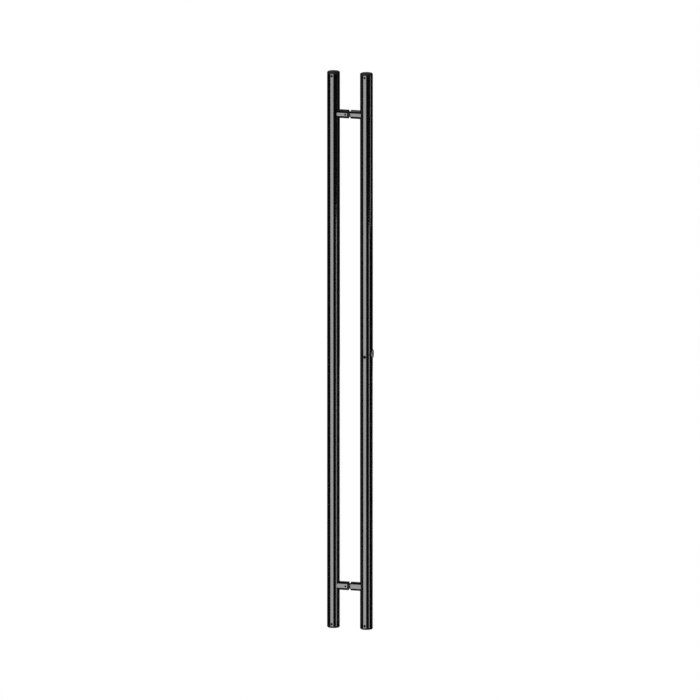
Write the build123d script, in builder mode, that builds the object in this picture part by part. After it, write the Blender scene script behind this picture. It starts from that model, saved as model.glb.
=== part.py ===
from build123d import *
import os
from math import cos, radians, sin, sqrt

os.makedirs("parts", exist_ok=True)

# Back-to-back locking pull for a door: X runs through the door, Z up along the bars.
# The inner bar stands at -X, the outer bar with the lock at +X. Lengths are in mm.

# Bars and posts
bar_length = 1676.4
bar_diameter = 38.1
bar_wall = 2.0
post_inset = 127.0
post_diameter = 26.5
post_edge = 0.4
door_gap = 8.0
hand_clearance = 27.95
gasket_thickness = 0.8
gasket_inset = 0.2

# End caps
cap_lid = 6.0
cap_edge = 2.5
cap_spigot = 22.0
cap_screw_depth = 12.0

# Fasteners
cap_screw_diameter = 6.0
cap_screw_length = 8.0
post_screw_diameter = 5.0
post_screw_setback = 6.0
screw_recess = 2.6
bolt_diameter = 8.0
boss_diameter = 16.0
boss_length = 9.5
head_diameter = 13.0
head_length = 8.0
nut_thickness = 7.0
nut_width = 18.0
sleeve_wall = 3.75
hex_small = 2.5
hex_medium = 3.0
hex_lock = 4.0
hex_large = 6.0

# Lock
lock_drop = 8.0
lock_flat = 1.4
ring_rim = 2.75
ring_thickness = 1.4
ring_lip = 0.7
barrel_diameter = 20.0
barrel_length = 17.1
head_proud = 0.25
head_lip = 1.5
plug_diameter = 12.6
plug_collar = 14.2
plug_collar_length = 1.5
plug_recess = 0.2
keyway_width = 2.2
keyway_height = 8.4
keyway_web = 1.2
tail_width = 7.6
carrier_above = 18.0
carrier_below = 42.0
carrier_screw_drop = 7.5
carrier_screw_diameter = 8.0

# Crank, yoke and rod
crank_radius = 8.5
crank_turn = 90.0
crank_pin_diameter = 4.2
crank_thickness = 2.5
crank_hub = 12.0
crank_screw_head = 10.0
crank_screw_head_length = 1.4
crank_screw_diameter = 4.0
crank_screw_length = 6.0
yoke_thickness = 4.0
yoke_wall = 1.5
yoke_cheek = 3.0
foot_height = 12.0
foot_width = 16.0
foot_reach = 15.5
rod_diameter = 10.0
rod_recess = 1.0
rod_seat = 10.0
pin_diameter = 3.0
bush_wall = 2.0
bush_flange = 2.0

# Fits, on the radius or between faces
seat_fit = 0.05
running_fit = 0.06
slide_fit = 0.3
slot_fit = 0.35
hole_fit = 0.25

# Places that follow from the sizes above
bar_radius = bar_diameter / 2
bore_radius = bar_radius - bar_wall
plug_fit_radius = bore_radius - seat_fit
bar_offset = door_gap / 2 + hand_clearance + bar_radius
tube_length = bar_length - 2 * cap_lid
post_radius = post_diameter / 2
post_face = door_gap / 2 + gasket_thickness
post_level = bar_length / 2 - post_inset
gasket_radius = post_radius - gasket_inset
bolt_hole = bolt_diameter / 2 + hole_fit
sleeve_radius = bolt_hole + sleeve_wall
nut_inner = plug_fit_radius - nut_thickness
post_bore = boss_diameter / 2 + hole_fit
post_bore_depth = boss_length + head_length + post_edge
crest = bar_offset + bar_radius
lock_z = -lock_drop
face_diameter = barrel_diameter + 2 * head_lip
ring_diameter = face_diameter + 2 * ring_rim
flat_x = crest - lock_flat
ring_x = flat_x + ring_thickness
ring_back = bar_offset + sqrt(bar_radius**2 - (ring_diameter / 2) ** 2)
head_x = ring_x - ring_lip
face_x = ring_x + head_proud
barrel_back = head_x - barrel_length
plug_bore = plug_diameter / 2 + running_fit
crank_front = barrel_back - slide_fit
crank_back = crank_front - crank_thickness
yoke_front = crank_back - crank_screw_head_length - slide_fit
yoke_back = yoke_front - yoke_thickness
half_turn = radians(crank_turn / 2)
pin_rise = crank_radius * sin(half_turn)
pin_side = crank_radius * cos(half_turn)
rod_throw = 2 * pin_rise
pin_radius = crank_pin_diameter / 2
slot_half = pin_radius + slot_fit
slot_outer = crank_radius + slot_half
slot_inner = pin_side - slot_half
yoke_side = slot_outer + yoke_wall
yoke_top = lock_z + pin_rise + slot_half + yoke_cheek
foot_top = lock_z - barrel_diameter / 2 - yoke_cheek
foot_bottom = foot_top - foot_height
foot_front = yoke_back + foot_reach
rod_radius = rod_diameter / 2
rod_top = foot_bottom + rod_seat
rod_end = rod_recess - bar_length / 2
bush_bore = rod_radius + running_fit
bush_radius = bush_bore + bush_wall
carrier_bottom = lock_z - carrier_below
screw_face = bar_radius - screw_recess
tip_drop = carrier_screw_drop - carrier_screw_diameter / 2
carrier_screw_tip = sqrt((barrel_diameter / 2) ** 2 - tip_drop**2) + seat_fit
carrier_screw_length = screw_face - carrier_screw_tip
sides = {"inner": -1, "outer": 1}
levels = {"upper": 1, "lower": -1}
ends = {"top": 1, "bottom": -1}


def save(part, label):
    part.label = label
    export_step(part, "parts/" + label + ".step")


# Bars: tubes with holes for the post bolts and the cap screws
for side, sx in sides.items():
    with BuildPart() as bar:
        with BuildSketch(Plane.XY.offset(-tube_length / 2)):
            with Locations((sx * bar_offset, 0)):
                Circle(bar_radius)
                Circle(bore_radius, mode=Mode.SUBTRACT)
        extrude(amount=tube_length)
        for level in levels.values():
            with BuildSketch(Plane.YZ.offset(sx * bar_offset)):
                with Locations((0, level * post_level)):
                    Circle(bolt_hole)
            extrude(amount=-sx * (bar_radius + 1), mode=Mode.SUBTRACT)
        for end in ends.values():
            with BuildSketch(Plane.XZ):
                with Locations((sx * bar_offset, end * (bar_length / 2 - cap_screw_depth))):
                    Circle(cap_screw_diameter / 2 + hole_fit)
            extrude(amount=bar_radius + 1, mode=Mode.SUBTRACT)
        if side == "outer":
            # Flat for the trim ring, hole for the lock barrel, hole for the carrier screw
            with BuildSketch(Plane.YZ.offset(flat_x)):
                with Locations((0, lock_z)):
                    Circle(ring_diameter / 2 + hole_fit)
            extrude(amount=lock_flat + 1, mode=Mode.SUBTRACT)
            with BuildSketch(Plane.YZ.offset(bar_offset)):
                with Locations((0, lock_z)):
                    Circle(barrel_diameter / 2 + hole_fit)
            extrude(amount=bar_radius + 1, mode=Mode.SUBTRACT)
            with BuildSketch(Plane.XZ):
                with Locations((bar_offset, lock_z - carrier_screw_drop)):
                    Circle(carrier_screw_diameter / 2 + hole_fit)
            extrude(amount=bar_radius + 1, mode=Mode.SUBTRACT)
    save(bar.part, side + "_bar")

# End caps: chamfered lid, spigot in the bore, tapped hole for the set screw
for side, sx in sides.items():
    for end, sz in ends.items():
        seat = sz * tube_length / 2
        with BuildPart() as cap:
            with BuildSketch(Plane.XY.offset(seat)):
                with Locations((sx * bar_offset, 0)):
                    Circle(bar_radius)
            extrude(amount=sz * cap_lid)
            lid_edges = cap.edges().filter_by(GeomType.CIRCLE).sort_by(Axis.Z)
            chamfer(lid_edges[-1] if sz > 0 else lid_edges[0], cap_edge)
            with BuildSketch(Plane.XY.offset(seat)):
                with Locations((sx * bar_offset, 0)):
                    Circle(plug_fit_radius)
            extrude(amount=-sz * cap_spigot)
            with BuildSketch(Plane.XZ.offset(bar_radius - screw_recess - cap_screw_length - hole_fit)):
                with Locations((sx * bar_offset, sz * (bar_length / 2 - cap_screw_depth))):
                    Circle(cap_screw_diameter / 2 + seat_fit)
            extrude(amount=bar_radius, mode=Mode.SUBTRACT)
            if side == "outer" and end == "bottom":
                with BuildSketch(Plane.XY.offset(-bar_length / 2)):
                    with Locations((bar_offset, 0)):
                        Circle(bush_radius + seat_fit)
                extrude(amount=cap_lid + cap_spigot, mode=Mode.SUBTRACT)
        save(cap.part, side + "_" + end + "_cap")

# Posts: round bars coped to the bar, bored for the through bolt or for its boss
for side, sx in sides.items():
    for level, sz in levels.items():
        z = sz * post_level
        with BuildPart() as post:
            with BuildSketch(Plane.YZ.offset(sx * post_face)):
                with Locations((0, z)):
                    Circle(post_radius)
            extrude(amount=sx * (bar_offset - post_face))
            rims = post.edges().filter_by(GeomType.CIRCLE).sort_by(Axis.X)
            chamfer(rims[0] if sx > 0 else rims[-1], post_edge)
            with BuildSketch(Plane.XY.offset(z - post_radius - 1)):
                with Locations((sx * bar_offset, 0)):
                    Circle(bar_radius + seat_fit)
            extrude(amount=post_diameter + 2, mode=Mode.SUBTRACT)
            with BuildSketch(Plane.YZ.offset(sx * post_face)):
                with Locations((0, z)):
                    Circle(bolt_hole)
            extrude(amount=sx * bar_offset, mode=Mode.SUBTRACT)
            if side == "inner":
                with BuildSketch(Plane.YZ.offset(sx * post_face)):
                    with Locations((0, z)):
                        Circle(post_bore)
                extrude(amount=sx * post_bore_depth, mode=Mode.SUBTRACT)
                with BuildSketch(Plane.XZ):
                    with Locations((sx * (post_face + post_screw_setback), z)):
                        Circle(post_screw_diameter / 2 + seat_fit)
                extrude(amount=post_radius + 1, mode=Mode.SUBTRACT)
        save(post.part, side + "_" + level + "_post")

# Gaskets against the door, one under each post
for side, sx in sides.items():
    for level, sz in levels.items():
        with BuildPart() as gasket:
            with BuildSketch(Plane.YZ.offset(sx * door_gap / 2)):
                with Locations((0, sz * post_level)):
                    Circle(gasket_radius)
                    Circle(sleeve_radius + hole_fit, mode=Mode.SUBTRACT)
            extrude(amount=sx * gasket_thickness)
        save(gasket.part, side + "_" + level + "_gasket")

# Sleeves around the through bolts in the holes of the door
for level, sz in levels.items():
    with BuildPart() as sleeve:
        with BuildSketch(Plane.YZ.offset(-post_face)):
            with Locations((0, sz * post_level)):
                Circle(sleeve_radius)
                Circle(bolt_diameter / 2 + seat_fit, mode=Mode.SUBTRACT)
        extrude(amount=2 * post_face)
    save(sleeve.part, level + "_sleeve")

# Through bolts: round boss on the inner side, shank into the outer saddle nut
with BuildPart() as through_bolts:
    for sz in levels.values():
        with BuildSketch(Plane.YZ.offset(-post_face)):
            with Locations((0, sz * post_level)):
                Circle(boss_diameter / 2)
        extrude(amount=-boss_length)
        with BuildSketch(Plane.YZ.offset(-post_face)):
            with Locations((0, sz * post_level)):
                Circle(bolt_diameter / 2)
        extrude(amount=post_face + bar_offset - nut_inner)
        with BuildSketch(Plane.YZ.offset(-post_face - boss_length)):
            with Locations((0, sz * post_level)):
                RegularPolygon(hex_large / 2, 6, major_radius=False)
        extrude(amount=boss_length / 2, mode=Mode.SUBTRACT)
save(through_bolts.part, "through_bolts")

# Socket screws that hold the inner posts to their saddle nuts
head_seat = post_face + post_bore_depth
with BuildPart() as post_bolts:
    for sz in levels.values():
        with BuildSketch(Plane.YZ.offset(-head_seat)):
            with Locations((0, sz * post_level)):
                Circle(head_diameter / 2)
        extrude(amount=head_length)
        with BuildSketch(Plane.YZ.offset(-head_seat)):
            with Locations((0, sz * post_level)):
                Circle(bolt_diameter / 2)
        extrude(amount=head_seat - bar_offset + nut_inner)
        with BuildSketch(Plane.YZ.offset(-head_seat + head_length)):
            with Locations((0, sz * post_level)):
                RegularPolygon(hex_large / 2, 6, major_radius=False)
        extrude(amount=-head_length / 2, mode=Mode.SUBTRACT)
save(post_bolts.part, "post_bolts")

# Saddle nuts: curved blocks inside the bars behind each post
with BuildPart() as saddle_nuts:
    for sx in sides.values():
        for sz in levels.values():
            middle = (plug_fit_radius + nut_inner) / 2
            with BuildSketch(Plane.XY.offset(sz * post_level - nut_width / 2)):
                with Locations((sx * bar_offset, 0)):
                    Circle(plug_fit_radius)
                with Locations((sx * (bar_offset - middle), 0)):
                    Rectangle(nut_thickness, nut_width, mode=Mode.INTERSECT)
            extrude(amount=nut_width)
            with BuildSketch(Plane.YZ.offset(sx * (bar_offset - bar_radius))):
                with Locations((0, sz * post_level)):
                    Circle(bolt_diameter / 2 + seat_fit)
            extrude(amount=sx * bar_radius, mode=Mode.SUBTRACT)
save(saddle_nuts.part, "saddle_nuts")

# Set screws of the end caps
with BuildPart() as cap_set_screws:
    for sx in sides.values():
        for sz in ends.values():
            spot = (sx * bar_offset, sz * (bar_length / 2 - cap_screw_depth))
            with BuildSketch(Plane.XZ.offset(screw_face)):
                with Locations(spot):
                    Circle(cap_screw_diameter / 2)
            extrude(amount=-cap_screw_length)
            with BuildSketch(Plane.XZ.offset(screw_face)):
                with Locations(spot):
                    RegularPolygon(hex_medium / 2, 6, major_radius=False)
            extrude(amount=-hex_medium, mode=Mode.SUBTRACT)
save(cap_set_screws.part, "cap_set_screws")

# Set screws of the inner posts, down to the boss
post_screw_face = post_radius - screw_recess / 2
with BuildPart() as post_set_screws:
    for sz in levels.values():
        spot = (-post_face - post_screw_setback, sz * post_level)
        with BuildSketch(Plane.XZ.offset(boss_diameter / 2 + seat_fit)):
            with Locations(spot):
                Circle(post_screw_diameter / 2)
        extrude(amount=post_screw_face - boss_diameter / 2 - seat_fit)
        with BuildSketch(Plane.XZ.offset(post_screw_face)):
            with Locations(spot):
                RegularPolygon(hex_small / 2, 6, major_radius=False)
        extrude(amount=-hex_small, mode=Mode.SUBTRACT)
save(post_set_screws.part, "post_set_screws")

# Carrier: block in the bar that holds the lock barrel and guides the yoke
pocket_back = yoke_back - slide_fit
pocket_front = barrel_back + slide_fit
pocket_wide = yoke_side + slide_fit
pocket_narrow = foot_width / 2 + slide_fit
pocket_top = yoke_top + slide_fit
foot_pocket_front = foot_front + slide_fit
with BuildPart() as lock_carrier:
    with BuildSketch(Plane.XY.offset(carrier_bottom)):
        with Locations((bar_offset, 0)):
            Circle(plug_fit_radius)
    extrude(amount=carrier_below + carrier_above)
    with BuildSketch(Plane.XY.offset(carrier_bottom)):
        with Locations((pocket_back, -pocket_narrow)):
            Rectangle(pocket_front - pocket_back, pocket_wide + pocket_narrow, align=(Align.MIN, Align.MIN))
    extrude(amount=pocket_top - carrier_bottom, mode=Mode.SUBTRACT)
    with BuildSketch(Plane.XY.offset(carrier_bottom)):
        with Locations((pocket_back, 0)):
            Rectangle(foot_pocket_front - pocket_back, 2 * pocket_narrow, align=(Align.MIN, Align.CENTER))
    extrude(amount=foot_top + slide_fit - carrier_bottom, mode=Mode.SUBTRACT)
    with BuildSketch(Plane.YZ.offset(barrel_back)):
        with Locations((0, lock_z)):
            Circle(barrel_diameter / 2 + seat_fit)
    extrude(amount=bar_diameter, mode=Mode.SUBTRACT)
    with BuildSketch(Plane.XZ.offset(carrier_screw_tip - seat_fit)):
        with Locations((bar_offset, lock_z - carrier_screw_drop)):
            Circle(carrier_screw_diameter / 2 + seat_fit)
    extrude(amount=bar_radius, mode=Mode.SUBTRACT)
save(lock_carrier.part, "lock_carrier")

# Set screw that holds the carrier in the bar
with BuildPart() as carrier_screw:
    with BuildSketch(Plane.XZ.offset(screw_face)):
        with Locations((bar_offset, lock_z - carrier_screw_drop)):
            Circle(carrier_screw_diameter / 2)
    extrude(amount=-carrier_screw_length)
    with BuildSketch(Plane.XZ.offset(screw_face)):
        with Locations((bar_offset, lock_z - carrier_screw_drop)):
            RegularPolygon(hex_lock / 2, 6, major_radius=False)
    extrude(amount=-hex_lock, mode=Mode.SUBTRACT)
save(carrier_screw.part, "carrier_screw")

# Trim ring under the head of the lock cylinder, shaped underneath to the flat and the round of the bar
ring_height = ring_x - ring_back
with BuildPart() as lock_ring:
    with BuildSketch(Plane.YZ.offset(ring_back)):
        with Locations((0, lock_z)):
            Circle(ring_diameter / 2)
    extrude(amount=ring_height)
    chamfer(lock_ring.edges().filter_by(GeomType.CIRCLE).sort_by(Axis.X)[-1], ring_lip / 2)
    with BuildSketch(Plane.XY.offset(lock_z - ring_diameter)):
        with Locations((bar_offset, 0)):
            Circle(bar_radius + seat_fit)
        with Locations((flat_x, 0)):
            Rectangle(
                2 * bar_diameter, 2 * bar_diameter, align=(Align.MAX, Align.CENTER), mode=Mode.INTERSECT
            )
    extrude(amount=2 * ring_diameter, mode=Mode.SUBTRACT)
    with BuildSketch(Plane.YZ.offset(ring_back)):
        with Locations((0, lock_z)):
            Circle(barrel_diameter / 2 + hole_fit)
    extrude(amount=ring_height, mode=Mode.SUBTRACT)
    with BuildSketch(Plane.YZ.offset(head_x)):
        with Locations((0, lock_z)):
            Circle(face_diameter / 2 + seat_fit)
    extrude(amount=ring_lip, mode=Mode.SUBTRACT)
save(lock_ring.part, "lock_ring")

# Lock cylinder: head, barrel and the bore of the plug
collar_x = face_x - plug_recess - plug_collar_length
with BuildPart() as lock_cylinder:
    with BuildSketch(Plane.YZ.offset(head_x)):
        with Locations((0, lock_z)):
            Circle(face_diameter / 2)
    extrude(amount=face_x - head_x)
    chamfer(lock_cylinder.edges().filter_by(GeomType.CIRCLE).sort_by(Axis.X)[-1], head_proud)
    with BuildSketch(Plane.YZ.offset(barrel_back)):
        with Locations((0, lock_z)):
            Circle(barrel_diameter / 2)
    extrude(amount=barrel_length)
    with BuildSketch(Plane.YZ.offset(barrel_back)):
        with Locations((0, lock_z)):
            Circle(plug_bore)
    extrude(amount=barrel_length + ring_thickness, mode=Mode.SUBTRACT)
    with BuildSketch(Plane.YZ.offset(collar_x - running_fit)):
        with Locations((0, lock_z)):
            Circle(plug_collar / 2 + running_fit)
    extrude(amount=plug_collar_length + ring_thickness, mode=Mode.SUBTRACT)
save(lock_cylinder.part, "lock_cylinder")

# Plug: collar, core, square tail, warded keyway and the hole of the crank screw
keyway_front = collar_x + plug_collar_length
keyway_back = crank_back + crank_screw_length + seat_fit + keyway_web
with BuildPart() as lock_plug:
    with BuildSketch(Plane.YZ.offset(collar_x)):
        with Locations((0, lock_z)):
            Circle(plug_collar / 2)
    extrude(amount=plug_collar_length)
    with BuildSketch(Plane.YZ.offset(crank_front)):
        with Locations((0, lock_z)):
            Circle(plug_diameter / 2)
    extrude(amount=collar_x - crank_front)
    with BuildSketch(Plane.YZ.offset(crank_back)):
        with Locations((0, lock_z)):
            Rectangle(tail_width, tail_width)
    extrude(amount=crank_thickness)
    with BuildSketch(Plane.YZ.offset(keyway_back)):
        with Locations((0, lock_z)):
            Rectangle(keyway_width / 2, keyway_height)
        with Locations((keyway_width / 4, lock_z + keyway_height / 4)):
            Rectangle(keyway_width, keyway_height / 4)
        with Locations((-keyway_width / 4, lock_z - keyway_height / 6)):
            Rectangle(keyway_width, keyway_height / 5)
    extrude(amount=keyway_front - keyway_back, mode=Mode.SUBTRACT)
    with BuildSketch(Plane.YZ.offset(crank_back)):
        with Locations((0, lock_z)):
            Circle(crank_screw_diameter / 2 + seat_fit)
    extrude(amount=crank_screw_length + seat_fit, mode=Mode.SUBTRACT)
save(lock_plug.part, "lock_plug")

# Crank: hub on the tail and an arm with the drive pin
with BuildPart() as lock_crank:
    with BuildSketch(Plane.YZ.offset(crank_back)):
        with Locations((0, lock_z)):
            Circle(crank_hub / 2)
        with Locations((pin_side, lock_z + pin_rise)):
            Circle(pin_radius + slide_fit)
        make_hull()
        with Locations((0, lock_z)):
            Rectangle(tail_width + 2 * seat_fit, tail_width + 2 * seat_fit, mode=Mode.SUBTRACT)
    extrude(amount=crank_thickness)
    with BuildSketch(Plane.YZ.offset(yoke_back)):
        with Locations((pin_side, lock_z + pin_rise)):
            Circle(pin_radius)
    extrude(amount=crank_back - yoke_back)
save(lock_crank.part, "lock_crank")

# Low-headed screw that holds the crank on the tail
with BuildPart() as crank_screw:
    with BuildSketch(Plane.YZ.offset(crank_back - crank_screw_head_length)):
        with Locations((0, lock_z)):
            Circle(crank_screw_head / 2)
    extrude(amount=crank_screw_head_length)
    with BuildSketch(Plane.YZ.offset(crank_back)):
        with Locations((0, lock_z)):
            Circle(crank_screw_diameter / 2)
    extrude(amount=crank_screw_length)
save(crank_screw.part, "crank_screw")

# Yoke: slotted plate behind the crank, with a foot for the rod
with BuildPart() as rod_yoke:
    with BuildSketch(Plane.YZ.offset(yoke_back)):
        with Locations((-foot_width / 2, foot_bottom)):
            Rectangle(foot_width / 2 + yoke_side, yoke_top - foot_bottom, align=(Align.MIN, Align.MIN))
        with Locations((slot_inner, lock_z + pin_rise)):
            Rectangle(
                slot_outer - slot_inner, 2 * slot_half, align=(Align.MIN, Align.CENTER), mode=Mode.SUBTRACT
            )
    extrude(amount=yoke_thickness)
    with BuildSketch(Plane.XY.offset(foot_bottom)):
        with Locations((yoke_back, 0)):
            Rectangle(foot_reach, foot_width, align=(Align.MIN, Align.CENTER))
    extrude(amount=foot_height)
    with BuildSketch(Plane.XY.offset(foot_bottom)):
        with Locations((bar_offset, 0)):
            Circle(rod_radius + seat_fit)
    extrude(amount=rod_seat + seat_fit, mode=Mode.SUBTRACT)
    with BuildSketch(Plane.XZ.offset(-bar_radius)):
        with Locations((bar_offset, rod_top - rod_seat / 2)):
            Circle(pin_diameter / 2 + seat_fit)
    extrude(amount=bar_diameter, mode=Mode.SUBTRACT)
save(rod_yoke.part, "rod_yoke")

# Cross pin of the yoke
with BuildPart() as yoke_pin:
    with BuildSketch(Plane.XZ.offset(-foot_width / 2)):
        with Locations((bar_offset, rod_top - rod_seat / 2)):
            Circle(pin_diameter / 2)
    extrude(amount=foot_width)
save(yoke_pin.part, "yoke_pin")

# Locking rod down the outer bar
with BuildPart() as lock_rod:
    with BuildSketch(Plane.XY.offset(rod_end)):
        with Locations((bar_offset, 0)):
            Circle(rod_radius)
    extrude(amount=rod_top - rod_end)
    chamfer(lock_rod.edges().filter_by(GeomType.CIRCLE).sort_by(Axis.Z)[0], rod_recess)
    with BuildSketch(Plane.XZ.offset(-bar_radius)):
        with Locations((bar_offset, rod_top - rod_seat / 2)):
            Circle(pin_diameter / 2 + seat_fit)
    extrude(amount=bar_diameter, mode=Mode.SUBTRACT)
save(lock_rod.part, "lock_rod")

# Bush that guides the rod in the bottom cap
with BuildPart() as rod_bush:
    with BuildSketch(Plane.XY.offset(-bar_length / 2)):
        with Locations((bar_offset, 0)):
            Circle(bush_radius)
    extrude(amount=cap_lid + cap_spigot)
    with BuildSketch(Plane.XY.offset(-bar_length / 2 + cap_lid + cap_spigot)):
        with Locations((bar_offset, 0)):
            Circle(bush_radius + bush_flange)
    extrude(amount=bush_flange)
    with BuildSketch(Plane.XY.offset(-bar_length / 2)):
        with Locations((bar_offset, 0)):
            Circle(bush_bore)
    extrude(amount=cap_lid + cap_spigot + bush_flange, mode=Mode.SUBTRACT)
save(rod_bush.part, "rod_bush")
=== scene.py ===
from math import cos, pi, radians, sin, tan

import bpy
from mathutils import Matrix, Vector


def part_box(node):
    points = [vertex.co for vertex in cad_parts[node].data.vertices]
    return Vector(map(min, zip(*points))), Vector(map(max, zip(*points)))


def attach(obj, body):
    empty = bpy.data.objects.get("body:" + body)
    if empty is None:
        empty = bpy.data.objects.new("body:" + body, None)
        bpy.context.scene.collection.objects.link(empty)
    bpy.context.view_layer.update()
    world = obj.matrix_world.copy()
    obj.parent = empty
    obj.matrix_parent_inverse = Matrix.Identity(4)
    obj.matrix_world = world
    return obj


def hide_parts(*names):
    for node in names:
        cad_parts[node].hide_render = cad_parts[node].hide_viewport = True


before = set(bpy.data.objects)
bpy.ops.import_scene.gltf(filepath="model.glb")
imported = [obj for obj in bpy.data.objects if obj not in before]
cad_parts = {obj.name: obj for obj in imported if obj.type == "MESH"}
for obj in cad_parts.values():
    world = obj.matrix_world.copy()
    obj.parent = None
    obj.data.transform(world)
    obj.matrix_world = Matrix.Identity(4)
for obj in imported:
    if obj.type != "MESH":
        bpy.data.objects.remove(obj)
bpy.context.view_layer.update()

# Back-to-back locking door pull: finishes, studio light, and finely meshed bars, caps, inner posts,
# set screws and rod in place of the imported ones.
# X runs through the door, Z up along the bars, the outer bar with the lock stands at +X.

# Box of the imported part, before any piece of this script
MM = 0.001


def middle(node):
    low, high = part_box(node)
    return (low + high) / 2


def half(node):
    low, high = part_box(node)
    return (high - low) / 2


# Places and sizes read from the frame
bar_radius = half("outer_top_cap").y
bar_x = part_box("outer_top_cap")[1].x - bar_radius
bar_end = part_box("outer_top_cap")[1].z
tube_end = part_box("outer_bar")[1].z
post_z = middle("outer_upper_post").z
post_radius = half("outer_upper_post").y
post_face_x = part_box("outer_upper_post")[0].x
lock_z = middle("lock_ring").z
ring_radius = half("lock_ring").z
ring_face_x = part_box("lock_ring")[1].x
rod_low, rod_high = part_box("lock_rod")
bar_screw_face_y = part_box("carrier_screw")[0].y
cap_screw_tip_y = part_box("cap_set_screws")[1].y
post_screw_x = middle("post_set_screws").x
post_screw_face_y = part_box("post_set_screws")[0].y
post_screw_tip_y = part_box("post_set_screws")[1].y
lock_screw_z = middle("carrier_screw").z
lock_screw_tip_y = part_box("carrier_screw")[1].y

# Sizes of the details, as in the part's source
seat_room = 0.05 * MM
hole_room = 0.25 * MM
bar_wall = 2.0 * MM
lid_edge = 2.5 * MM
spigot_radius = bar_radius - bar_wall - seat_room
spigot_length = 22.0 * MM
cap_screw_depth = 12.0 * MM
cap_screw_z = bar_end - cap_screw_depth
cap_screw_radius = 3.0 * MM
cap_socket = 3.0 * MM
post_screw_radius = 2.5 * MM
post_socket = 2.5 * MM
lock_screw_radius = 4.0 * MM
lock_socket = 4.0 * MM
bolt_hole_radius = 4.25 * MM
post_edge = 0.4 * MM
post_bore_radius = 8.25 * MM
post_bore_depth = 17.9 * MM
barrel_hole_radius = 10.25 * MM
ring_thickness = 1.4 * MM
flat_x = ring_face_x - ring_thickness
flat_radius = ring_radius + hole_room
bush_seat_radius = 7.11 * MM
cross_hole_radius = 1.55 * MM
cross_hole_drop = 5.0 * MM
cross_hole_z = rod_high.z - cross_hole_drop
rod_edge = 1.0 * MM

# Depths of cuts that go right through what they meet
WALL_CUT = 2 * bar_wall
BARREL_CUT = 6 * bar_wall
LID_CUT = bar_end - tube_end + 2 * spigot_length

# Fineness of the meshes
BAR_SIDES = 256
CAP_SIDES = 128
ROD_SIDES = 96
SCREW_SIDES = 64
HEXAGON = 6
SOFT_EDGE = 0.25 * MM
SOFT_STEPS = 3
DEBURR = 0.5 * MM
SHARP_ANGLE = radians(25)
SMOOTH_ANGLE = radians(15)

# Bars are split this far above and below a screw or bolt, and above and below the lock
SCREW_SPLIT = 8 * MM
LOCK_SPLIT = 20 * MM

# Cutters stand out this far from the surface
CUT_REACH = 4 * MM

# Round pieces and cutters are made with a small turn, which keeps corners of one off the edges of the other
ODD_TURN = radians(0.4)

# A hexagon's corners stand this much farther out than its sides
CORNER_SHARE = 2 / 3**0.5


def deselect():
    bpy.ops.object.select_all(action="DESELECT")


def activate(piece):
    deselect()
    piece.select_set(True)
    bpy.context.view_layer.objects.active = piece


def settle(piece, name):
    """Names the piece and puts its place into its mesh."""
    piece.name = name
    piece.data.name = name
    activate(piece)
    bpy.ops.object.transform_apply(location=True, rotation=True, scale=True)
    return piece


def apply(piece, modifier):
    activate(piece)
    bpy.ops.object.modifier_apply(modifier=modifier.name)


def soften(piece, width):
    """Rounds the sharp edges of a piece by a small radius."""
    edge = piece.modifiers.new("soft_edge", "BEVEL")
    edge.width = width
    edge.segments = SOFT_STEPS
    edge.limit_method = "ANGLE"
    edge.angle_limit = SHARP_ANGLE
    apply(piece, edge)


def smooth(piece):
    activate(piece)
    bpy.ops.object.shade_smooth_by_angle(angle=SMOOTH_ANGLE)


def turned(name, outline, sides):
    """A turned solid about Z: a disc drawn out step by step to each radius and height of the outline."""
    deselect()
    radius, height = outline[0]
    bpy.ops.mesh.primitive_circle_add(
        vertices=sides,
        radius=radius,
        fill_type="NGON",
        location=(0, 0, height),
        rotation=(0, 0, ODD_TURN),
    )
    piece = bpy.context.object
    bpy.ops.object.mode_set(mode="EDIT")
    for next_radius, next_height in outline[1:]:
        step = (0, 0, next_height - height)
        bpy.ops.mesh.extrude_region_move(TRANSFORM_OT_translate={"value": step})
        share = next_radius / radius
        bpy.ops.transform.resize(value=(share, share, 1), center_override=(0, 0, next_height))
        radius, height = next_radius, next_height
    bpy.ops.mesh.select_all(action="SELECT")
    bpy.ops.mesh.normals_make_consistent(inside=False)
    bpy.ops.object.mode_set(mode="OBJECT")
    return settle(piece, name)


def aim(piece, point, outward):
    """Turns a piece made about Z so that its +Z looks outward, and moves its origin to the point."""
    piece.rotation_euler = Vector(outward).to_track_quat("Z", "Y").to_euler()
    piece.location = point
    return settle(piece, piece.name)


def cut(piece, cutter):
    hole = piece.modifiers.new("hole", "BOOLEAN")
    hole.operation = "DIFFERENCE"
    hole.solver = "MANIFOLD"
    hole.object = cutter
    apply(piece, hole)
    bpy.data.objects.remove(cutter)


def drill(piece, point, outward, radius, depth, rim=0.0, sides=SCREW_SIDES):
    """Cuts a round hole from a point on the surface inwards, with a deburred rim where one is given."""
    outline = [(radius, -depth), (radius, CUT_REACH)]
    if rim:
        outline = [(radius, -depth), (radius, -rim), (radius + rim + CUT_REACH, CUT_REACH)]
    cut(piece, aim(turned("drill", outline, sides), point, outward))


def split_rows(piece, heights):
    """Splits the long faces of a bar at these heights, so that the faces round a hole stay short."""
    activate(piece)
    bpy.ops.object.mode_set(mode="EDIT")
    for height in heights:
        bpy.ops.mesh.select_all(action="SELECT")
        bpy.ops.mesh.bisect(plane_co=(0, 0, height), plane_no=(0, 0, 1))
    bpy.ops.object.mode_set(mode="OBJECT")


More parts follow.
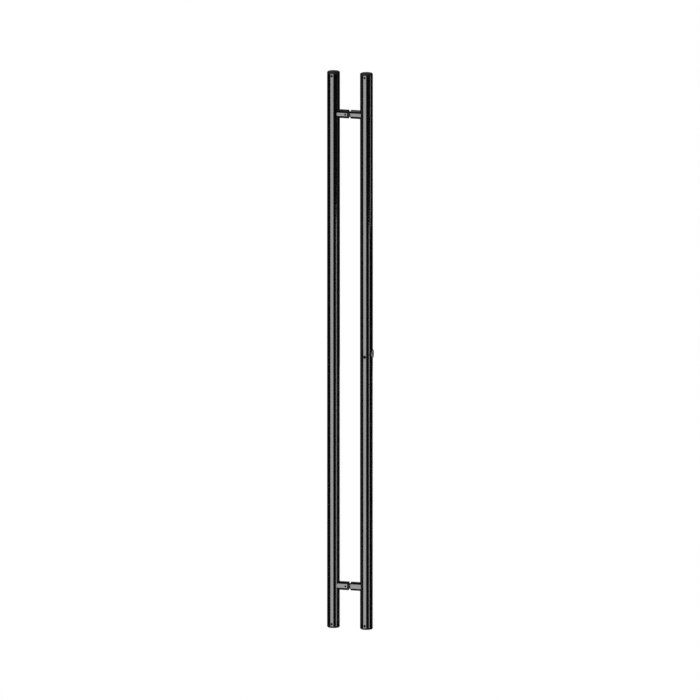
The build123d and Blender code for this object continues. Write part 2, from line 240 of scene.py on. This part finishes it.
def bar_tube(name, side):
    """A bar: drawn tube with the holes for bolts and screws, and the seat of the lock on the outer one."""
    deselect()
    x = side * bar_x
    bpy.ops.mesh.primitive_cylinder_add(
        vertices=BAR_SIDES,
        radius=bar_radius,
        depth=2 * tube_end,
        end_fill_type="NOTHING",
        location=(x, 0, 0),
        rotation=(0, 0, ODD_TURN),
    )
    tube = settle(bpy.context.object, name)
    rows = [-cap_screw_z, -post_z, post_z, cap_screw_z]
    split_rows(tube, [row + near for row in rows for near in (-SCREW_SPLIT, SCREW_SPLIT)])
    if side > 0:
        split_rows(tube, [lock_z - LOCK_SPLIT, lock_z + LOCK_SPLIT])
    wall = tube.modifiers.new("wall", "SOLIDIFY")
    wall.thickness = bar_wall
    wall.offset = -1
    apply(tube, wall)
    front = (0, -1, 0)
    for level in (-1, 1):
        bolt_point = (x - side * bar_radius, 0, level * post_z)
        drill(tube, bolt_point, (-side, 0, 0), bolt_hole_radius, WALL_CUT)
        cap_screw_point = (x, -bar_radius, level * cap_screw_z)
        drill(tube, cap_screw_point, front, cap_screw_radius + hole_room, WALL_CUT, DEBURR)
    if side > 0:
        lock_point = (flat_x, 0, lock_z)
        drill(tube, lock_point, (1, 0, 0), flat_radius, 0, sides=ROD_SIDES)
        drill(tube, lock_point, (1, 0, 0), barrel_hole_radius, BARREL_CUT, sides=ROD_SIDES)
        lock_screw_point = (x, -bar_radius, lock_screw_z)
        drill(tube, lock_screw_point, front, lock_screw_radius + hole_room, WALL_CUT, DEBURR)
    smooth(tube)
    return tube


def inner_post(name, level):
    """A post of the inner bar: coped to the bar, bored for the bolt's boss, drilled for its set screw."""
    length = bar_x - post_face_x
    outline = [(post_radius - post_edge, 0), (post_radius, post_edge), (post_radius, length)]
    post = turned(name, outline, ROD_SIDES)
    z = level * post_z
    door_point = (-post_face_x, 0, z)
    aim(post, door_point, (-1, 0, 0))
    saddle_radius = bar_radius + seat_room
    saddle_outline = [(saddle_radius, -2 * post_radius), (saddle_radius, 2 * post_radius)]
    saddle = turned("saddle", saddle_outline, BAR_SIDES)
    cut(post, aim(saddle, (-bar_x, 0, z), (0, 0, 1)))
    drill(post, door_point, (1, 0, 0), post_bore_radius, post_bore_depth)
    drill(post, door_point, (1, 0, 0), bolt_hole_radius, 2 * length)
    screw_point = (post_screw_x, -post_radius, z)
    drill(post, screw_point, (0, -1, 0), post_screw_radius + seat_room, post_radius / 2, DEBURR)
    smooth(post)
    return post


def end_cap(name, side, end):
    """A cap: spigot in the bore, lid with a chamfer, tapped hole for its set screw."""
    outline = [
        (spigot_radius, tube_end - spigot_length),
        (spigot_radius, tube_end),
        (bar_radius, tube_end),
        (bar_radius, bar_end - lid_edge),
        (bar_radius - lid_edge, bar_end),
    ]
    cap = turned(name, outline, CAP_SIDES)
    soften(cap, SOFT_EDGE)
    aim(cap, (side * bar_x, 0, 0), (0, 0, end))
    screw_point = (side * bar_x, -spigot_radius, end * cap_screw_z)
    screw_depth = hole_room + cap_screw_tip_y + spigot_radius
    drill(cap, screw_point, (0, -1, 0), cap_screw_radius + seat_room, screw_depth)
    if side > 0 and end < 0:
        drill(cap, (bar_x, 0, -bar_end), (0, 0, -1), bush_seat_radius, LID_CUT, DEBURR)
    smooth(cap)
    return cap


def set_screw(name, x, z, radius, face_y, tip_y, socket):
    """A set screw that looks to -Y: rounded rim, hexagon socket with a countersunk mouth, coned tip."""
    length = tip_y - face_y
    tip_edge = radius / 3
    rim = radius / 8
    mouth = socket / 12
    outline = [(radius - tip_edge, -length), (radius, tip_edge - length), (radius, 0)]
    screw = turned(name, outline, SCREW_SIDES)
    soften(screw, rim)
    key_outline = [(socket / 2, -socket), (socket / 2, -mouth), (socket / 2 + mouth + MM, MM)]
    key = turned("key", key_outline, HEXAGON)
    key.scale = (CORNER_SHARE, CORNER_SHARE, 1)
    cut(screw, settle(key, "key"))
    aim(screw, (x, face_y, z), (0, -1, 0))
    smooth(screw)
    return screw


def rod_bar():
    """The locking rod: a ground bar with a chamfered end and the cross hole of its yoke pin."""
    radius = (rod_high.x - rod_low.x) / 2
    outline = [(radius - rod_edge, rod_low.z), (radius, rod_low.z + rod_edge), (radius, rod_high.z)]
    rod = turned("rod_bar", outline, ROD_SIDES)
    soften(rod, SOFT_EDGE)
    aim(rod, (bar_x, 0, 0), (0, 0, 1))
    drill(rod, (bar_x, -radius, cross_hole_z), (0, -1, 0), cross_hole_radius, 2 * radius + MM)
    smooth(rod)
    return rod


def grain_group():
    """Fine grain of a finish: a soft mottle for colour and roughness, and a height for the bump."""
    group = bpy.data.node_groups.new("finish_grain", "ShaderNodeTree")
    group.interface.new_socket("Vector", in_out="INPUT", socket_type="NodeSocketVector")
    for name in ("Grain Scale", "Mottle Scale"):
        group.interface.new_socket(name, in_out="INPUT", socket_type="NodeSocketFloat")
    for name in ("Mottle", "Height"):
        group.interface.new_socket(name, in_out="OUTPUT", socket_type="NodeSocketFloat")
    entry = group.nodes.new("NodeGroupInput")
    leave = group.nodes.new("NodeGroupOutput")
    grain = group.nodes.new("ShaderNodeTexNoise")
    grain.inputs["Detail"].default_value = 3
    mottle = group.nodes.new("ShaderNodeTexNoise")
    mottle.inputs["Detail"].default_value = 5
    mottle.inputs["Roughness"].default_value = 0.6
    link = group.links.new
    link(entry.outputs["Vector"], grain.inputs["Vector"])
    link(entry.outputs["Vector"], mottle.inputs["Vector"])
    link(entry.outputs["Grain Scale"], grain.inputs["Scale"])
    link(entry.outputs["Mottle Scale"], mottle.inputs["Scale"])
    link(mottle.outputs["Fac"], leave.inputs["Mottle"])
    link(grain.outputs["Fac"], leave.inputs["Height"])
    return group


GRAIN = grain_group()


def finish(
    name,
    tones,
    rough,
    grain_scale,
    mottle_scale,
    bump,
    bump_depth,
    stretch=(1, 1, 1),
    metallic=0.0,
    specular=0.5,
    ior=1.5,
    coat=0.0,
    coat_rough=0.03,
):
    """A finish from two tones and two roughnesses that mix over the mottle, with fine grain in its bump."""
    material = bpy.data.materials.new(name)
    material.use_nodes = True
    tree = material.node_tree
    shader = tree.nodes["Principled BSDF"]
    shader.inputs["Metallic"].default_value = metallic
    shader.inputs["Specular IOR Level"].default_value = specular
    shader.inputs["IOR"].default_value = ior
    shader.inputs["Coat Weight"].default_value = coat
    shader.inputs["Coat Roughness"].default_value = coat_rough
    place = tree.nodes.new("ShaderNodeTexCoord")
    turn = tree.nodes.new("ShaderNodeMapping")
    turn.inputs["Scale"].default_value = stretch
    grain = tree.nodes.new("ShaderNodeGroup")
    grain.node_tree = GRAIN
    grain.inputs["Grain Scale"].default_value = grain_scale
    grain.inputs["Mottle Scale"].default_value = mottle_scale
    colour = tree.nodes.new("ShaderNodeMix")
    colour.data_type = "RGBA"
    colour.inputs["A"].default_value = (*tones[0], 1)
    colour.inputs["B"].default_value = (*tones[1], 1)
    gloss = tree.nodes.new("ShaderNodeMapRange")
    gloss.inputs["From Min"].default_value = 0.3
    gloss.inputs["From Max"].default_value = 0.7
    gloss.inputs["To Min"].default_value = rough[0]
    gloss.inputs["To Max"].default_value = rough[1]
    relief = tree.nodes.new("ShaderNodeBump")
    relief.inputs["Strength"].default_value = bump
    relief.inputs["Distance"].default_value = bump_depth
    link = tree.links.new
    link(place.outputs["Object"], turn.inputs["Vector"])
    link(turn.outputs["Vector"], grain.inputs["Vector"])
    link(grain.outputs["Mottle"], colour.inputs["Factor"])
    link(grain.outputs["Mottle"], gloss.inputs["Value"])
    link(grain.outputs["Height"], relief.inputs["Height"])
    link(colour.outputs["Result"], shader.inputs["Base Color"])
    link(gloss.outputs["Result"], shader.inputs["Roughness"])
    link(relief.outputs["Normal"], shader.inputs["Normal"])
    return material


FINISH_TABLE = {
    "black_finish": {
        "tones": [(0.0014, 0.0014, 0.0016), (0.0032, 0.0032, 0.0034)],
        "rough": [0.08, 0.12],
        "grain_scale": 900,
        "mottle_scale": 35,
        "bump": 0.05,
        "bump_depth": 0.02 * MM,
        "ior": 2.0,
        "coat": 1.0,
        "coat_rough": 0.04,
    },
    "satin_black": {
        "tones": [(0.0072, 0.0072, 0.0076), (0.0126, 0.0126, 0.0131)],
        "rough": [0.4, 0.5],
        "grain_scale": 1100,
        "mottle_scale": 60,
        "bump": 0.12,
        "bump_depth": 0.03 * MM,
        "specular": 0.37,
    },
    "black_oxide": {
        "tones": [(0.0018, 0.0018, 0.002), (0.0045, 0.0045, 0.0047)],
        "rough": [0.55, 0.7],
        "grain_scale": 2200,
        "mottle_scale": 300,
        "bump": 0.2,
        "bump_depth": 0.03 * MM,
        "specular": 0.15,
    },
    "plain_steel": {
        "tones": [(0.46, 0.46, 0.47), (0.58, 0.58, 0.58)],
        "rough": [0.28, 0.4],
        "grain_scale": 900,
        "mottle_scale": 120,
        "bump": 0.12,
        "bump_depth": 0.02 * MM,
        "stretch": (1, 1, 0.08),
        "metallic": 1.0,
    },
    "satin_nickel": {
        "tones": [(0.72, 0.705, 0.665), (0.82, 0.805, 0.765)],
        "rough": [0.36, 0.48],
        "grain_scale": 1500,
        "mottle_scale": 200,
        "bump": 0.1,
        "bump_depth": 0.02 * MM,
        "metallic": 1.0,
    },
    "gasket_rubber": {
        "tones": [(0.007, 0.007, 0.007), (0.016, 0.016, 0.016)],
        "rough": [0.6, 0.8],
        "grain_scale": 1800,
        "mottle_scale": 260,
        "bump": 0.3,
        "bump_depth": 0.04 * MM,
    },
    "nylon": {
        "tones": [(0.0055, 0.0055, 0.006), (0.011, 0.011, 0.0116)],
        "rough": [0.5, 0.65],
        "grain_scale": 1200,
        "mottle_scale": 150,
        "bump": 0.15,
        "bump_depth": 0.03 * MM,
    },
    # Painted shade: the lock carrier gets near-black tones, far darker than its alloy, so that the screw
    # hole in the bar in front of it reads dark
    "carrier_alloy": {
        "tones": [(0.0072, 0.0072, 0.0079), (0.0144, 0.0144, 0.0153)],
        "rough": [0.4, 0.55],
        "grain_scale": 900,
        "mottle_scale": 150,
        "bump": 0.15,
        "bump_depth": 0.02 * MM,
        "stretch": (0.1, 1, 1),
        "specular": 0.37,
    },
}
finishes = {slot: finish(slot, **looks) for slot, looks in FINISH_TABLE.items()}


def dress(piece, slot):
    piece.data.materials.clear()
    piece.data.materials.append(finishes[slot])


def install(piece, slot, node, body="handle"):
    """A new piece takes its finish, rides on its body and stands for its node."""
    dress(piece, slot)
    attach(piece, body)
    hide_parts(node)


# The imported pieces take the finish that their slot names
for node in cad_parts.values():
    dress(node, node.material_slots[0].material.name)

for side, side_name in ((-1, "inner"), (1, "outer")):
    x = side * bar_x
    install(bar_tube(side_name + "_tube", side), "black_finish", side_name + "_bar")
    for end, end_name in ((1, "top"), (-1, "bottom")):
        place = side_name + "_" + end_name
        z = end * cap_screw_z
        install(end_cap(place + "_lid", side, end), "satin_black", place + "_cap")
        name = place + "_screw"
        screw = set_screw(name, x, z, cap_screw_radius, bar_screw_face_y, cap_screw_tip_y, cap_socket)
        install(screw, "black_oxide", "cap_set_screws")
for level, level_name in ((1, "upper"), (-1, "lower")):
    z = level * post_z
    post = inner_post("inner_" + level_name + "_stem", level)
    install(post, "black_finish", "inner_" + level_name + "_post")
    name = level_name + "_post_screw"
    screw = set_screw(
        name, post_screw_x, z, post_screw_radius, post_screw_face_y, post_screw_tip_y, post_socket
    )
    install(screw, "black_oxide", "post_set_screws")
screw = set_screw(
    "lock_screw", bar_x, lock_screw_z, lock_screw_radius, bar_screw_face_y, lock_screw_tip_y, lock_socket
)
install(screw, "black_oxide", "carrier_screw")
install(rod_bar(), "plain_steel", "lock_rod", "rod")

# Camera: the photograph's view, without perspective
CAMERA_AZIMUTH = 17.0
CAMERA_ELEVATION = 11.0
VIEW_WIDTH = 2.072
CAMERA_DISTANCE = 4.0


def towards(azimuth, elevation=0.0):
    """Direction from the part to a place round it: 0 is in front, at -Y, and 90 is at +X."""
    a = radians(azimuth)
    e = radians(elevation)
    return Vector((sin(a) * cos(e), -cos(a) * cos(e), sin(e)))


def face(thing, direction):
    """Turns a camera or a lamp to look in a direction."""
    thing.rotation_euler = direction.to_track_quat("-Z", "Y").to_euler()


bpy.ops.object.camera_add()
camera = bpy.context.object
camera.name = "photo_camera"
camera.data.type = "ORTHO"
camera.data.ortho_scale = VIEW_WIDTH
back = towards(CAMERA_AZIMUTH, CAMERA_ELEVATION)
camera.location = back * CAMERA_DISTANCE
face(camera, -back)
bpy.context.scene.camera = camera

# Studio: softboxes round the part, inside a dark drape that only reflections see
LAMP_DISTANCE = 2.3
DRAPE_RADIUS = 2.8
DRAPE_SIDES = 64
DRAPE_TONE = (0.01, 0.01, 0.01, 1)
DRAPE_FOOT = -2.4
FLOOR_GAP = 0.01
FLOOR_SIZE = 60
FLOOR_TONE = (0.8, 0.8, 0.8, 1)
FILL = 0.3
WHITE = (1, 1, 1, 1)


def lamp(name, width, height, place, strength):
    """A soft lamp that the camera doesn't see: it faces down, and strength is its brightness."""
    bpy.ops.object.light_add(type="AREA", location=place)
    light = bpy.context.object
    light.name = name
    light.data.shape = "RECTANGLE"
    light.data.size = width
    light.data.size_y = height
    light.data.energy = strength * width * height * pi
    light.visible_camera = False
    return light


def softbox(name, azimuth, low, high, spread, strength):
    """A lamp that stands upright and faces the bars: spread is the angle that its width covers."""
    width = 2 * LAMP_DISTANCE * tan(radians(spread / 2))
    place = towards(azimuth) * LAMP_DISTANCE + Vector((0, 0, (low + high) / 2))
    light = lamp(name, width, high - low, place, strength)
    face(light, -towards(azimuth))


softbox("key_softbox", azimuth=-14.75, low=-2.0, high=2.0, spread=51.5, strength=2.1)
# A card in front of the bars and below their ends, for the highlight along the lower posts
low_card = lamp("low_card", width=0.23, height=0.95, place=(-0.165, -0.5, -1.475), strength=2.1)
face(low_card, Vector((0, 1, 0)))
softbox("side_strip", azimuth=68.0, low=-2.0, high=-0.05, spread=8.0, strength=2.3)
softbox("upper_strip", azimuth=93.0, low=-0.05, high=0.45, spread=5.0, strength=2.0)
softbox("rim_softbox", azimuth=160.0, low=-2.3, high=-0.5, spread=14.0, strength=1.15)
softbox("cap_card", azimuth=197.0, low=0.9, high=2.0, spread=20.0, strength=0.27)
softbox("back_strip", azimuth=197.0, low=-2.0, high=0.9, spread=26.0, strength=0.5)
for name, width, x in (("overhead", 1.6, 0), ("inner_overhead", 0.9, -1.7), ("outer_overhead", 0.9, 1.7)):
    lamp(name, width, height=0.8, place=(x, 0.1, LAMP_DISTANCE), strength=0.5)

bpy.ops.mesh.primitive_cylinder_add(
    vertices=DRAPE_SIDES,
    radius=DRAPE_RADIUS,
    depth=-2 * DRAPE_FOOT,
    end_fill_type="NGON",
    location=(0, 0, 0),
)
drape = bpy.context.object
drape.name = "dark_drape"
drape.visible_camera = False
drape.visible_diffuse = False
drape.visible_shadow = False
drape_cloth = bpy.data.materials.new("drape_cloth")
drape_cloth.use_nodes = True
cloth = drape_cloth.node_tree.nodes["Principled BSDF"]
cloth.inputs["Base Color"].default_value = DRAPE_TONE
cloth.inputs["Roughness"].default_value = 1.0
drape.data.materials.append(drape_cloth)

bpy.ops.mesh.primitive_plane_add(size=FLOOR_SIZE, location=(0, 0, DRAPE_FOOT - FLOOR_GAP))
floor = bpy.context.object
floor.name = "pale_floor"


def seen_directly(tree):
    """1 for rays from the camera, from mirrors and through glass, 0 for light that scatters."""
    path = tree.nodes.new("ShaderNodeLightPath")
    total = path.outputs["Is Camera Ray"]
    for kind in ("Is Glossy Ray", "Is Transmission Ray"):
        either = tree.nodes.new("ShaderNodeMath")
        either.operation = "MAXIMUM"
        tree.links.new(total, either.inputs[0])
        tree.links.new(path.outputs[kind], either.inputs[1])
        total = either.outputs["Value"]
    return total


# Floor: white where it is seen, a pale paint for light that scatters
floor_paint = bpy.data.materials.new("floor_paint")
floor_paint.use_nodes = True
tree = floor_paint.node_tree
paint = tree.nodes["Principled BSDF"]
paint.inputs["Base Color"].default_value = FLOOR_TONE
white = tree.nodes.new("ShaderNodeEmission")
choice = tree.nodes.new("ShaderNodeMixShader")
tree.links.new(seen_directly(tree), choice.inputs["Fac"])
tree.links.new(paint.outputs["BSDF"], choice.inputs[1])
tree.links.new(white.outputs["Emission"], choice.inputs[2])
tree.links.new(choice.outputs["Shader"], tree.nodes["Material Output"].inputs["Surface"])
floor.data.materials.append(floor_paint)

# World: white where it is seen, a soft fill elsewhere
world = bpy.data.worlds.new("studio")
bpy.context.scene.world = world
world.use_nodes = True
tree = world.node_tree
sky = tree.nodes["Background"]
brightness = tree.nodes.new("ShaderNodeMapRange")
brightness.inputs["To Min"].default_value = FILL
brightness.inputs["To Max"].default_value = 1.0
tree.links.new(seen_directly(tree), brightness.inputs["Value"])
tree.links.new(brightness.outputs["Result"], sky.inputs["Strength"])
sky.inputs["Color"].default_value = WHITE

bpy.context.scene.view_settings.view_transform = "Standard"
